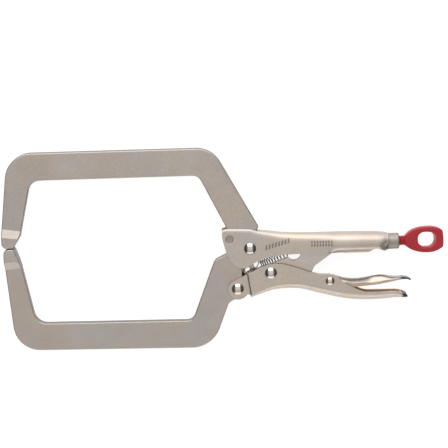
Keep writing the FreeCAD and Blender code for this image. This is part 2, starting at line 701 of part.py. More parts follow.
build_fixed_jaw()
build_moving_jaw()
build_upper_handle()
build_lower_handle()
build_link()
build_lever()
build_nut()
build_screw()
build_loop()
build_fasteners()
build_anchor()
build_spring()
doc.recompute()
lay_on_table()
check_and_write()
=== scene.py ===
"""Looks of the locking C-clamp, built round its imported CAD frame.

Shapes are drawn in millimetres in the clamp's own drawing frame: the jaw pivot is at the origin, X runs
along the adjusting screw towards the torque loop and z = 0 is the clamp's middle plane.  to_row() moves
a point into the row frame, in metres.
"""

import json
import math

import bmesh
import bpy
from mathutils import Matrix, Vector


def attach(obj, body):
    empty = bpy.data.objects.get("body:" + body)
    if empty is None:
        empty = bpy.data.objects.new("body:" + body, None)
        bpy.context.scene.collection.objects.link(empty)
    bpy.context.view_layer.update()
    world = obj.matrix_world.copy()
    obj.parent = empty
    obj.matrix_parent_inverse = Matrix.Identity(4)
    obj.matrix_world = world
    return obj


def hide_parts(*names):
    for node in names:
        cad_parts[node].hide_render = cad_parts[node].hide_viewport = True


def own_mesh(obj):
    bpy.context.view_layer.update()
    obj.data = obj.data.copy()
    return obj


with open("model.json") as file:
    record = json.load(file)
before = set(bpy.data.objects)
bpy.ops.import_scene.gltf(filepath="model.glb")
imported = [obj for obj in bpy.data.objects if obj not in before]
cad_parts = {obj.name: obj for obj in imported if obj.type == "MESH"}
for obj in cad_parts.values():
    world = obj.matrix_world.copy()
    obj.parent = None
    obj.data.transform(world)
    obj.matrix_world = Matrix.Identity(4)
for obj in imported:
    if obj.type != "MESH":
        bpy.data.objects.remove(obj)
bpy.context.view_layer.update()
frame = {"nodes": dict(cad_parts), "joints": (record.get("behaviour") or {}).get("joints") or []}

MM = 0.001
JOINTS = {joint["name"]: joint for joint in frame["joints"]}
ORIGIN = Vector(JOINTS["jaw_pivot"]["pos_m"])
SHEET = 2.5  # thickness of both handles
FIXED_JAW_HALF, MOVING_JAW_HALF, TIP_HALF = 5.0, 4.7, 8.5  # half thicknesses of the forgings
FORGED_EDGE = 1.3  # rounding along the jaws
PLUG_CENTRE = (-20.8, 11.0)


def to_row(point):
    """Drawing frame in millimetres to the row frame in metres."""
    return Vector(point) * MM + ORIGIN


def pivot(joint):
    """Place of a hinge in the drawing frame."""
    return (Vector(JOINTS[joint]["pos_m"]) - ORIGIN) / MM


JAW_PIVOT = pivot("jaw_pivot")
HANDLE_PIVOT = pivot("handle_pivot")
LINK_PIVOT = pivot("link_pivot")
LEVER_PIVOT = pivot("lever_pivot")

# ---------------------------------------------------------------- drawing helpers


def smooth_step(low, high, value):
    """0 below low, 1 above high and a smooth step between them."""
    share = min(max((value - low) / (high - low), 0.0), 1.0)
    return share * share * (3 - 2 * share)


def follow(points, x):
    """Smooth curve through (x, y) points, read at x; level beyond its ends."""
    if x <= points[0][0]:
        return points[0][1]
    if x >= points[-1][0]:
        return points[-1][1]
    slopes = []
    for i in range(len(points)):
        before = points[max(i - 1, 0)]
        after = points[min(i + 1, len(points) - 1)]
        slopes.append((after[1] - before[1]) / (after[0] - before[0]))
    for i in range(len(points) - 1):
        (x0, y0), (x1, y1) = points[i], points[i + 1]
        if x <= x1:
            span = x1 - x0
            t = (x - x0) / span
            return ((2 * t ** 3 - 3 * t ** 2 + 1) * y0 + (t ** 3 - 2 * t ** 2 + t) * span * slopes[i]
                    + (3 * t ** 2 - 2 * t ** 3) * y1 + (t ** 3 - t ** 2) * span * slopes[i + 1])


def rounded(corners, step=0.6):
    """Closed outline from corners (x, y, radius), as points with the arcs divided finely."""
    outline = []
    count = len(corners)
    for i, (x, y, radius) in enumerate(corners):
        here = Vector((x, y))
        if radius == 0:
            outline.append(here)
            continue
        before = (Vector(corners[i - 1][:2]) - here).normalized()
        after = (Vector(corners[(i + 1) % count][:2]) - here).normalized()
        half = before.angle(after) / 2
        setback = radius / math.tan(half)
        centre = here + (before + after).normalized() * (radius / math.sin(half))
        start, end = here + before * setback - centre, here + after * setback - centre
        sweep = start.angle_signed(end)
        pieces = max(3, int(abs(sweep) * radius / step))
        for k in range(pieces + 1):
            turn = Matrix.Rotation(-sweep * k / pieces, 2)
            outline.append(centre + turn @ start)
    return outline


def ring(centre, radius, count=48):
    """Circle as points."""
    return [Vector((centre[0] + radius * math.cos(2 * math.pi * k / count),
                    centre[1] + radius * math.sin(2 * math.pi * k / count))) for k in range(count)]


def add_object(name, data):
    """Object in the scene for a mesh, curve, light or camera."""
    added = bpy.data.objects.new(name, data)
    bpy.context.scene.collection.objects.link(added)
    return added


def smooth_object(name, mesh):
    """Object for a mesh that is shaded smooth."""
    for polygon in mesh.polygons:
        polygon.use_smooth = True
    return add_object(name, mesh)


def new_object(name, points, faces):
    """Mesh object from points in the drawing frame, smooth shaded, with its normals outwards."""
    mesh = bpy.data.meshes.new(name)
    mesh.from_pydata([to_row(point) for point in points], [], faces)
    work = bmesh.new()
    work.from_mesh(mesh)
    bmesh.ops.recalc_face_normals(work, faces=work.faces)
    work.to_mesh(mesh)
    work.free()
    return smooth_object(name, mesh)


def apply_modifiers(piece):
    """Turn what the modifiers make into the piece's own mesh."""
    bpy.context.view_layer.update()
    ready = piece.evaluated_get(bpy.context.evaluated_depsgraph_get())
    mesh = bpy.data.meshes.new_from_object(ready)
    piece.modifiers.clear()
    piece.data = mesh


def cut(piece, tool, operation="DIFFERENCE"):
    """Boolean with a closed tool, which is used up."""
    modifier = piece.modifiers.new("cut", "BOOLEAN")
    modifier.operation = operation
    modifier.solver = "EXACT"
    modifier.object = tool
    apply_modifiers(piece)
    bpy.data.objects.remove(tool)


def weigh_normals(piece, weight=80, keep_sharp=True):
    """Normals that follow the larger faces, so that the flats stay flat."""
    weights = piece.modifiers.new("flat_faces", "WEIGHTED_NORMAL")
    weights.weight = weight
    weights.keep_sharp = keep_sharp


def soften(piece, width, angle=35.0):
    """Rounded edges between flats that stay flat."""
    bevel = piece.modifiers.new("soft_edges", "BEVEL")
    bevel.width = width * MM
    bevel.segments = 2
    bevel.limit_method = "ANGLE"
    bevel.angle_limit = math.radians(angle)
    bevel.harden_normals = False
    weigh_normals(piece)


def mesh_tag(piece, name, rule):
    """Point attribute for a material: rule(x, y, z, old value) in the drawing frame."""
    tag = piece.data.attributes.get(name) or piece.data.attributes.new(name, "FLOAT", "POINT")
    for number, vertex in enumerate(piece.data.vertices):
        place = (vertex.co - ORIGIN) / MM
        tag.data[number].value = rule(place.x, place.y, place.z, tag.data[number].value)


def curve_to_mesh(drawing):
    """Mesh of a curve, which is used up."""
    holder = add_object(drawing.name, drawing)
    bpy.context.view_layer.update()
    mesh = bpy.data.meshes.new_from_object(
        holder.evaluated_get(bpy.context.evaluated_depsgraph_get()))
    bpy.data.objects.remove(holder)
    bpy.data.curves.remove(drawing)
    return mesh


def skin(name, rings):
    """Closed piece over rings of points that match one to one, with flat ends."""
    count = len(rings[0])
    faces = []
    for i in range(len(rings) - 1):
        for k in range(count):
            after = (k + 1) % count
            faces.append((i * count + k, i * count + after,
                          (i + 1) * count + after, (i + 1) * count + k))
    faces.append(tuple(range(count)))
    faces.append(tuple((len(rings) - 1) * count + k for k in range(count)))
    return new_object(name, [point for points in rings for point in points], faces)


def prism(name, outline, low, high, top=None):
    """Block over an outline, straight-sided or tapered to another outline at its top."""
    return skin(name, [[(x, y, z) for x, y in shape]
                       for shape, z in ((outline, low), (top or outline, high))])


def plate(name, outlines, half, edge):
    """Flat plate of half thickness half over an outline with holes, its edges rounded by edge."""
    drawing = bpy.data.curves.new(name, "CURVE")
    drawing.dimensions = "2D"
    drawing.fill_mode = "BOTH"
    drawing.extrude = half - edge
    drawing.bevel_depth = edge
    drawing.bevel_resolution = 3
    drawing.offset = -edge
    for outline in outlines:
        spline = drawing.splines.new("POLY")
        spline.points.add(len(outline) - 1)
        for point, place in zip(spline.points, outline):
            point.co = (place[0], place[1], 0, 1)
        spline.use_cyclic_u = True
    made = curve_to_mesh(drawing)
    work = bmesh.new()
    work.from_mesh(made)
    bmesh.ops.remove_doubles(work, verts=work.verts, dist=0.002)
    bmesh.ops.dissolve_degenerate(work, dist=0.001, edges=work.edges)
    bpy.data.meshes.remove(made)
    points = [tuple(vertex.co) for vertex in work.verts]
    work.verts.index_update()
    faces = [tuple(vertex.index for vertex in face.verts) for face in work.faces]
    work.free()
    return new_object(name, points, faces)


def lathe(name, profile, centre=(0, 0, 0), axis="X", count=64):
    """Turned piece: profile is (distance along the axis, radius) from one end to the other."""
    rings = []
    for along, radius in profile:
        rings.append([])
        for k in range(count):
            angle = 2 * math.pi * k / count
            a, b = radius * math.cos(angle), radius * math.sin(angle)
            local = (along, a, b) if axis == "X" else (a, b, along)
            rings[-1].append(Vector(centre) + Vector(local))
    return skin(name, rings)


def shell(name, outer, inner, kept):
    """Sheet between two matching grids of points; kept(i, j) says which quads of the grid exist.

    The point attribute "warm" is 1 on the inner grid and 0 on the outer one."""
    rows, columns = len(outer), len(outer[0])
    points = [p for row in outer for p in row] + [p for row in inner for p in row]
    layer = rows * columns
    faces = []
    mask = [[kept(i, j) for j in range(columns - 1)] for i in range(rows - 1)]

    def there(i, j):
        return 0 <= i < rows - 1 and 0 <= j < columns - 1 and mask[i][j]

    for i in range(rows - 1):
        for j in range(columns - 1):
            if not mask[i][j]:
                continue
            a, b = i * columns + j, (i + 1) * columns + j
            faces.append((a, b, b + 1, a + 1))
            faces.append((layer + a, layer + a + 1, layer + b + 1, layer + b))
            for ends, beside in (((a, a + 1), (i - 1, j)), ((b + 1, b), (i + 1, j)),
                                 ((b, a), (i, j - 1)), ((a + 1, b + 1), (i, j + 1))):
                if not there(*beside):
                    faces.append((ends[0], ends[1], layer + ends[1], layer + ends[0]))
    piece = new_object(name, points, faces)
    inside = piece.data.attributes.new("warm", "FLOAT", "POINT")
    for number in range(layer, 2 * layer):
        inside.data[number].value = 1.0
    work = bmesh.new()
    work.from_mesh(piece.data)
    loose = [vertex for vertex in work.verts if not vertex.link_faces]
    bmesh.ops.delete(work, geom=loose, context="VERTS")
    work.to_mesh(piece.data)
    work.free()
    return piece


def rolled_section(floor, edge, half, reach, rise, roundness, steps):
    """Half section (y, z) of a channel: half its floor, a rolled corner and a straight cheek.

    roundness 0 makes the corner a flat chamfer and 1 a round roll; steps divides the three parts."""
    section = []
    for part, count in enumerate(steps):
        for k in range(count if part < 2 else count + 1):
            t = k / count
            if part == 0:
                section.append((floor, (half - reach) * t))
            elif part == 1:
                angle = t * math.pi / 2
                lift = t + (1 - math.cos(angle) - t) * roundness
                side = t + (math.sin(angle) - t) * roundness
                section.append((floor + rise * lift, half - reach * (1 - side)))
            else:
                section.append((floor + rise + (edge - floor - rise) * t, half))
    return section


def both_sides(x, section, bend=lambda y, z: (y, z)):
    """Whole section as points, from the front edge over the middle to the back edge."""
    back = [(y, -z) for y, z in section[1:]]
    return [(x, *bend(y, z)) for y, z in section[::-1] + back]


def stations(*runs):
    """Values of x from runs of (start, end, number of steps)."""
    values = []
    for low, high, steps in runs:
        values += [low + (high - low) * k / steps for k in range(steps)]
    return values + [runs[-1][1]]


# ---------------------------------------------------------------- outlines

FIXED_JAW = [
    (-255.9, 11.3, 5.5), (-244.0, 11.3, 1.2), (-236.3, 23.0, 6.0), (-222.1, 80.4, 13.0),
    (-49.7, 77.8, 10.0), (-22.6, 20.4, 2.0), (-26.2, 16.5, 2.0), (-25.6, 4.5, 2.5),
    (-14.8, 6.0, 1.5), (-9.5, 12.0, 3.0), (0.0, 14.4, 3.0), (7.4, 14.4, 1.5),
    (7.4, 18.2, 1.4), (9.9, 21.6, 1.8), (-34.4, 105.6, 28.0), (-244.4, 109.3, 28.0),
    (-255.7, 26.0, 15.0),
]
MOVING_JAW = [
    (-254.5, 10.9, 6.0), (-254.8, -2.0, 12.0), (-248.2, -97.7, 28.0), (-43.5, -103.9, 31.0),
    (-24.5, -57.2, 6.0), (-17.0, -53.0, 1.5), (-9.0, -34.0, 1.5), (-9.0, -13.0, 2.0),
    (-7.0, -6.0, 1.5), (-12.0, 0.3, 1.5), (-37.2, -11.1, 9.5), (-62.7, -73.9, 9.0),
    (-225.4, -69.7, 14.0), (-237.1, -7.5, 8.0), (-243.4, 10.9, 2.0),
]
SPRING_TAB = [
    (-12.0, -10.0, 0), (-2.0, -10.0, 1.0), (1.6, -15.6, 1.2), (4.2, -21.2, 1.6),
    (-0.6, -29.2, 2.0), (-12.0, -32.0, 0),
]
SPRING_HOLE = ((-3.1, -23.6), 2.9)
LINK = [
    (17.0, -19.3, 2.0), (37.3, -12.3, 1.4), (60.0, 1.8, 6.0), (93.3, 5.3, 5.1),
    (93.4, -3.1, 4.0), (65.6, -21.8, 7.0), (61.2, -31.2, 1.5), (44.0, -32.4, 20.0),
    (20.0, -34.0, 6.0), (13.6, -28.0, 5.0),
]
LINK_NOTCH = ((45.2, -8.3), 7.2)
LOOP_TOP = [(160.0, 4.8), (161.4, 6.4), (164.6, 9.3), (168.8, 11.5), (174.0, 13.1), (180.2, 13.8),
            (185.4, 13.9), (190.1, 13.4), (194.7, 12.0), (198.0, 10.1)]
LOOP_BOTTOM = [(160.0, -4.8), (162.2, -6.7), (166.3, -9.4), (171.4, -11.5), (177.5, -12.9),
               (184.3, -13.3), (190.0, -12.7), (194.6, -11.0), (198.3, -8.8)]
LOOP_END = [(199.1, 9.1), (199.5, 7.6), (199.8, 3.8), (200.0, 0.0), (199.9, -3.6), (199.6, -6.9),
            (199.2, -7.9)]
LOOP_HOLE = [(173.5, -7.2, 6.8), (190.3, -7.2, 6.8), (190.3, 8.2, 6.8), (173.5, 8.2, 6.8)]
LOOP_DRAFT = (190.2, 192.3)  # the hole's outer wall leans from the first x at the back to the second

# ---------------------------------------------------------------- forged jaws

# slanted lines (x, y, slope) between which a jaw's thickness changes, wide end first
FIXED_FACET = (-253.6, 23.2, -0.12), (-252.1, 31.5, -0.17)
MOVING_FACET = (-252.7, -3.1, 0.065), (-251.9, -11.0, 0.068)
TIP_X = -225.0  # every corner point further out than this belongs to the tip's end of a jaw
FACET_X = -150.0  # the facet lines are only cut further out than this, and into large flat faces
LARGE_FACE = 1e-4  # in square metres


def swell(piece, half, full, end):
    """Widen the tip of a flat jaw, from nothing at the facet line end to all of it at full."""

    def level(line, x):
        return line[1] + line[2] * (x - line[0])

    work = bmesh.new()
    work.from_mesh(piece.data)
    limit = to_row((FACET_X, 0, 0)).x
    for line in (full, end):
        near = [face for face in work.faces
                if all(vertex.co.x < limit for vertex in face.verts) or face.calc_area() > LARGE_FACE]
        geometry = list({v for f in near for v in f.verts}) + list({e for f in near for e in f.edges})
        bmesh.ops.bisect_plane(work, geom=geometry + near, dist=1e-8, plane_co=to_row((*line[:2], 0)),
                               plane_no=(-line[2], 1, 0))
    shares = {}
    for vertex in work.verts:
        x, y = (vertex.co.x - ORIGIN.x) / MM, (vertex.co.y - ORIGIN.y) / MM
        if x > TIP_X:
            continue
        start = level(full, x)
        share = (y - start) / (level(end, x) - start)
        shares[vertex] = share
        width = 1 - min(max(share, 0.0), 1.0)
        vertex.co.z = ORIGIN.z + (vertex.co.z - ORIGIN.z) * (1 + width * (TIP_HALF / half - 1))
    off_facet = -9.0
    for edge in work.edges:
        ends = [shares.get(vertex, off_facet) for vertex in edge.verts]
        if any(all(abs(share - mark) < 1e-3 for share in ends) for mark in (0.0, 1.0)):
            edge.smooth = False
    work.to_mesh(piece.data)
    work.free()


def make_fixed_jaw():
    """Upper forged arm, whose root sits between the cheeks of the upper handle."""
    piece = plate("fixed_jaw_arm", [rounded(FIXED_JAW)], FIXED_JAW_HALF, FORGED_EDGE)
    swell(piece, FIXED_JAW_HALF, *FIXED_FACET)
    weigh_normals(piece)
    return piece


def make_moving_jaw():
    """Lower forged arm with its two eyes, and the thinner tab that holds the spring."""
    arm = plate("moving_jaw_arm", [rounded(MOVING_JAW)], MOVING_JAW_HALF, FORGED_EDGE)
    swell(arm, MOVING_JAW_HALF, *MOVING_FACET)
    for centre, radius in ((JAW_PIVOT, 13.0), (HANDLE_PIVOT, 12.0)):
        cut(arm, plate("eye", [ring(centre, radius, 72)], MOVING_JAW_HALF, 0.8), "UNION")
    tab = plate("tab", [rounded(SPRING_TAB), ring(*SPRING_HOLE, 36)], 2.2, 0.5)
    cut(arm, tab, "UNION")
    weigh_normals(arm)
    return arm


# ---------------------------------------------------------------- upper handle

UPPER_TOP = [(-28.4, 20.2), (-25.0, 21.4), (-21.0, 21.5), (-10.0, 21.0), (1.0, 20.1), (8.0, 18.0),
             (18.0, 16.8), (30.0, 15.2), (42.0, 14.1), (55.0, 13.3), (73.0, 12.9), (92.0, 12.7),
             (111.0, 12.1), (129.0, 11.2), (134.0, 10.8), (138.0, 10.2), (140.5, 9.6),
             (142.8, 9.1)]
UPPER_EDGE = [(-28.4, 14.2), (-27.7, 9.3), (-26.7, 5.1), (-24.9, -2.3), (-21.6, -10.3),
              (-16.5, -16.4), (-11.3, -19.7), (-7.2, -20.2), (-3.0, -18.9), (1.3, -16.8),
              (7.6, -13.6), (13.9, -11.1), (22.2, -9.2), (30.6, -8.1), (40.9, -7.9), (51.2, -7.9),
              (61.5, -8.0), (71.8, -8.2), (82.1, -9.0), (88.0, -10.0), (111.0, -10.5),
              (130.0, -10.9), (137.0, -10.9), (142.8, -9.9)]
UPPER_HALF_WIDTH = [(-28.4, 7.5), (30.0, 7.5), (42.0, 7.6), (55.0, 7.9), (68.0, 8.6), (78.0, 9.6),
                    (90.0, 11.2), (112.0, 11.3), (130.0, 11.0), (134.0, 10.8), (138.0, 10.2),
                    (141.0, 9.5), (142.8, 9.2)]
UPPER_CORNER_Z = [(-28.4, 2.2), (0.0, 2.3), (8.0, 2.5), (20.0, 4.6), (32.0, 6.2), (45.0, 6.8),
                  (60.0, 7.4), (78.0, 8.6), (90.0, 9.5)]
UPPER_CORNER_Y = [(-28.4, 3.4), (0.0, 4.6), (8.0, 5.6), (20.0, 7.5), (32.0, 8.6), (45.0, 9.2),
                  (60.0, 9.6), (78.0, 10.4), (90.0, 11.0)]
UPPER_STEPS = (4, 2, 16, 26)  # roof, shoulder, corner and cheek
UPPER_SHARES = (0.0, 0.14, 0.2, 0.56, 1.0)  # where they begin and end on the tube's half turn
UPPER_ROOF_HALF = 5.0
ROOF_START = 8.0  # the channel is open on top before this
TUBE_RUN = (77.0, 91.0)  # the channel closes into the tube
THINNING_RUN = (84.0, 96.0)  # the sheet draws in to the tube's bore
TUBE_BORE = 8.5
CHANNEL_HALF = 5.0
SEAM_START = 97.5  # from here on the tube's lips nearly meet
SEAM_HALF = 0.45
LIP_SHARE = 0.9  # only the last part of the half turn moves with the seam
CRIMP_RUN = (131.0, 149.0)
CRIMP_DEPTH = 4.5
CRIMP_Y, CRIMP_SPREAD = -4.8, 4.6
CRIMP_HALF_WIDTH = 8.0  # a flank that is this wide is pressed in by the whole depth
TUBE_NOTCH = [
    (119.0, -16.0, 0), (121.4, -10.6, 1.5), (125.8, -6.9, 3.0), (129.2, -5.6, 2.0),
    (131.8, -5.7, 2.0), (135.2, -7.5, 2.0), (139.0, -9.5, 0.3), (141.2, -8.1, 0.4),
    (144.0, -7.2, 0), (144.0, -16.0, 0),
]


def upper_section(x, inner):
    """Half section (y, z) of the upper handle from the middle of the roof to the lower edge."""
    half, top, bottom = (follow(line, x) for line in (UPPER_HALF_WIDTH, UPPER_TOP, UPPER_EDGE))
    corner_z, corner_y = follow(UPPER_CORNER_Z, x), follow(UPPER_CORNER_Y, x)
    tube = smooth_step(*TUBE_RUN, x)
    open_top = x < ROOF_START
    tube_bottom = bottom
    if inner:
        thickness = SHEET + (half - TUBE_BORE - SHEET) * smooth_step(*THINNING_RUN, x)
        top -= 0.1 if open_top else thickness
        half -= thickness
        tube_bottom += thickness
        corner_z = 0.1 if open_top else max(corner_z - thickness, 0.3)
        corner_y = 0.6 if open_top else max(corner_y - thickness, 0.3)
    roof = half - 0.12 if inner and open_top else min(UPPER_ROOF_HALF, 0.9 * (half - corner_z))
    centre, height = (top + tube_bottom) / 2, (top - tube_bottom) / 2
    gap = CHANNEL_HALF if x < SEAM_START else SEAM_HALF
    common = math.pi - math.asin(min(CHANNEL_HALF / half, 1.0))
    last = math.pi - math.asin(min(gap / half, 1.0))
    section = []
    for part, count in enumerate(UPPER_STEPS):
        for k in range(count if part < 3 else count + 1):
            t = k / count
            if part == 0:
                flat = (top, roof * t)
            elif part == 1:
                flat = (top, roof + (half - corner_z - roof) * t)
            elif part == 2:
                angle = t * math.pi / 2
                flat = (top - corner_y * (1 - math.cos(angle)),
                        half - corner_z * (1 - math.sin(angle)))
            else:
                flat = (top - corner_y + (bottom - top + corner_y) * t, half)
            share = UPPER_SHARES[part] + (UPPER_SHARES[part + 1] - UPPER_SHARES[part]) * t
            angle = share * common
            if share > LIP_SHARE:
                angle += (last - common) * (share - LIP_SHARE) / (1 - LIP_SHARE)
            around = (centre + height * math.cos(angle), half * math.sin(angle))
            section.append((flat[0] + (around[0] - flat[0]) * tube,
                            flat[1] + (around[1] - flat[1]) * tube))
    return section


def crimped(x, y, z):
    """Place (y, z) with the crimp at the tube's end, which presses the lower flanks in."""
    depth = CRIMP_DEPTH * smooth_step(*CRIMP_RUN, x)
    flank = math.exp(-((y - CRIMP_Y) / CRIMP_SPREAD) ** 2)
    return y, z * (1 - depth * flank / CRIMP_HALF_WIDTH)


def make_upper_handle():
    """Bent-sheet channel that closes into the tube, with the notch and the crimp at its end."""
    places = stations((-28.4, -25.0, 12), (-25.0, -18.0, 14), (-18.0, ROOF_START - 0.1, 30),
                      (ROOF_START - 0.1, ROOF_START + 0.1, 1), (ROOF_START + 0.1, 78.0, 50),
                      (78.0, SEAM_START - 0.05, 26), (SEAM_START - 0.05, SEAM_START + 0.05, 1),
                      (SEAM_START + 0.05, 128.0, 20), (128.0, 142.8, 20))
    outer, inner = ([both_sides(x, upper_section(x, is_inner), lambda y, z: crimped(x, y, z))
                     for x in places] for is_inner in (False, True))
    middle = (len(outer[0]) - 1) // 2

    def kept(i, j):
        in_roof = middle - UPPER_STEPS[0] <= j < middle + UPPER_STEPS[0]
        return not (in_roof and places[i] < ROOF_START - 0.05)

    piece = shell("upper_handle_sheet", outer, inner, kept)
    cut(piece, prism("notch", rounded(TUBE_NOTCH), -30, 30))
    for side in (-1, 1):
        cut(piece, prism("plug_hole", ring(PLUG_CENTRE, 4.25), side * 4.0, side * 9.0))
    mesh_tag(piece, "warm", lambda x, y, z, old: 0.0)
    soften(piece, 0.35)
    return piece


# ---------------------------------------------------------------- lower handle

LOWER_TOP = [(-24.0, -39.5), (-23.0, -37.0), (-21.0, -34.9), (-18.0, -33.2), (-12.0, -30.6),
             (-4.0, -26.5), (4.0, -22.6), (11.4, -19.3), (19.8, -17.0), (26.0, -16.9), (34.2, -18.1),
             (42.4, -20.5), (50.5, -23.5), (58.6, -26.7), (64.8, -28.6), (70.9, -30.0), (80.8, -30.9),
             (85.2, -32.2), (92.3, -37.2), (96.4, -40.4), (105.0, -45.6), (112.0, -49.3),
             (118.0, -51.3), (130.0, -52.0), (145.0, -52.4), (150.0, -52.6), (154.0, -53.2),
             (157.5, -54.6), (160.9, -56.6)]
LOWER_BOTTOM = [(-24.0, -44.5), (-23.0, -47.2), (-21.0, -49.6), (-18.0, -51.4), (-14.5, -51.9),
                (-10.0, -50.9), (-6.5, -48.9), (-3.8, -48.2), (-1.6, -49.4)]
CHANNEL_BOTTOM = [(-1.5, -51.8), (8.8, -48.6), (21.4, -45.4), (27.6, -44.7), (40.1, -44.6),
                  (52.5, -46.1), (64.9, -49.7), (77.2, -53.3), (89.6, -56.6), (102.0, -59.0),
                  (114.4, -60.3), (126.9, -60.6), (139.4, -60.2), (151.9, -59.3), (160.9, -59.0)]
LOWER_ROLL = [(-1.5, 2.6), (11.0, 4.2), (27.0, 5.6), (45.0, 6.6), (65.0, 7.4), (90.0, 8.4),
              (115.0, 8.6), (140.0, 7.4), (151.0, 5.4), (156.0, 3.0), (160.9, 1.6)]
LOWER_HALF_WIDTH = [(0.5, 9.0), (140.0, 8.9), (153.0, 8.4), (160.9, 7.0)]
LOWER_ROUNDNESS = 0.6
LOWER_STEPS = (4, 14, 20)  # floor, roll and cheek
EAR_END = -1.55  # the flat ears end and the channel begins
EAR_HALF_WIDTH = 7.5
BACK_RIM_DIP = 2.3  # how far the back cheek's rim lies below the front one's


def lower_section(x, inner):
    """Half section (y, z) of the lower handle from the middle of the floor to the upper edge."""
    ear = x < EAR_END
    half = EAR_HALF_WIDTH
    top = follow(LOWER_TOP, x)
    bottom = follow(LOWER_BOTTOM if ear else CHANNEL_BOTTOM, x)
    roll = 0.2 if ear else follow(LOWER_ROLL, x)
    if inner:
        thickness = min(SHEET, 0.9 * (top - bottom))
        half -= thickness
        filled = top - bottom - 0.4
        bottom += 0.1 if ear else thickness + (filled - thickness) * smooth_step(149.0, 155.0, x)
        roll = min(max(roll - thickness, 0.2), 0.6 * (top - bottom))
    reach = min(0.92 * (half - 0.5), roll)
    rise = min(roll, 0.85 * (top - bottom))
    spread = follow(LOWER_HALF_WIDTH, x) - EAR_HALF_WIDTH
    joggle = (-1.4, 0.9, 0.125, -45.0)  # middle in x, half length, lean and height of the middle
    bent = []
    for y, z in rolled_section(bottom, top, half, reach, rise, LOWER_ROUNDNESS, LOWER_STEPS):
        along = x - joggle[0] + joggle[2] * (y - joggle[3])
        bent.append((y, z + spread * min(z / 4.0, 1.0) * smooth_step(-joggle[1], joggle[1], along)))
    return bent


def make_lower_handle():
    """Bent-sheet lever: two flat ears round the jaw's eye, then a channel rolled along its floor."""
    places = stations((-24.0, -21.0, 10), (-21.0, -5.6, 20), (-5.6, -3.2, 8),
                      (-3.2, EAR_END - 0.05, 6), (EAR_END - 0.05, EAR_END + 0.05, 1),
                      (EAR_END + 0.05, 0.6, 8), (0.6, 96.0, 70), (96.0, 146.0, 36), (146.0, 160.9, 18))
    outer, inner = [], []
    for x in places:
        dip = BACK_RIM_DIP * smooth_step(-1.0, 8.0, x) * (1 - smooth_step(82.0, 92.0, x))
        for rows, is_inner in ((outer, False), (inner, True)):
            section = lower_section(x, is_inner)
            floor, rim = section[0][0], section[-1][0]

            def dipped(y, z):
                share = smooth_step(0.5, 1.0, (y - floor) / (rim - floor))
                return (y - dip * share if z < 0 else y), z

            rows.append(both_sides(x, section, dipped))
    middle = (len(outer[0]) - 1) // 2
    bend = LOWER_STEPS[0] + LOWER_STEPS[1]

    def kept(i, j):
        in_floor = middle - bend <= j < middle + bend
        return not (in_floor and places[i] < EAR_END)

    piece = shell("lower_handle_sheet", outer, inner, kept)
    mesh_tag(piece, "warm", lambda x, y, z, old: 0.75 * old * smooth_step(84.0, 100.0, x))
    # painted dark reflection: the handle's tip is coloured near black where it would mirror dark
    # surroundings
    mesh_tag(piece, "dark", lambda x, y, z, old: smooth_step(154.0, 157.0, x))
    soften(piece, 0.6)
    return piece


# ---------------------------------------------------------------- link and release lever


def make_link():
    """Blanked link between the lower handle and the screw, notched for the spring."""
    piece = plate("toggle_link_plate", [rounded(LINK)], 4.7, 0.7)
    cut(piece, prism("notch", ring(*LINK_NOTCH, 60), -10, 10))
    soften(piece, 0.5, angle=50.0)
    return piece


LEVER_TOP = [(57.5, -35.9), (60.0, -34.9), (63.0, -33.4), (65.0, -32.0), (70.0, -31.4),
             (78.0, -31.3), (84.0, -32.2), (90.0, -34.2), (96.9, -36.2), (103.1, -37.2),
             (109.3, -37.4), (115.6, -37.0), (121.8, -36.2), (128.1, -35.3), (134.4, -34.9),
             (138.5, -35.3), (143.0, -36.3), (149.0, -37.2), (156.5, -37.8), (161.5, -38.6),
             (165.0, -40.2)]
LEVER_RIM = [(57.5, -37.8), (66.0, -40.2), (74.0, -42.2), (84.0, -44.6), (96.0, -45.6),
             (104.7, -45.5), (112.6, -45.2), (123.2, -44.6), (131.1, -43.9), (139.0, -42.8),
             (147.0, -41.4), (152.0, -40.5), (156.5, -39.8), (161.5, -40.1), (165.0, -41.5)]
LEVER_ROLL = [(57.5, 0.8), (66.0, 2.0), (90.0, 3.8), (105.0, 4.3), (118.0, 4.6), (127.0, 7.0),
              (133.0, 6.4), (140.0, 4.2), (147.0, 2.4), (153.0, 1.1), (165.0, 0.5)]
LEVER_SHEET = 1.7
LEVER_ROUNDNESS = 0.4
LEVER_STEPS = (4, 14, 12)  # back, shoulder and cheek
LEVER_HALF_WIDTH, LEVER_END_HALF_WIDTH = 5.9, 5.4


def lever_section(x, inner):
    """Half section (y, z) of the release lever from the middle of its back to the rim."""
    half = LEVER_HALF_WIDTH
    half += (LEVER_END_HALF_WIDTH - LEVER_HALF_WIDTH) * smooth_step(150.0, 165.0, x)
    top, rim, roll = (follow(line, x) for line in (LEVER_TOP, LEVER_RIM, LEVER_ROLL))
    if inner:
        thickness = min(LEVER_SHEET, 0.72 * (top - rim))
        half -= LEVER_SHEET
        top -= thickness
        roll = max(roll - thickness, 0.25)
    roll = min(roll, 0.85 * (top - rim))
    reach = min(1.6 * roll, 0.84 * half)
    return rolled_section(top, rim, half, reach, -roll, LEVER_ROUNDNESS, LEVER_STEPS)


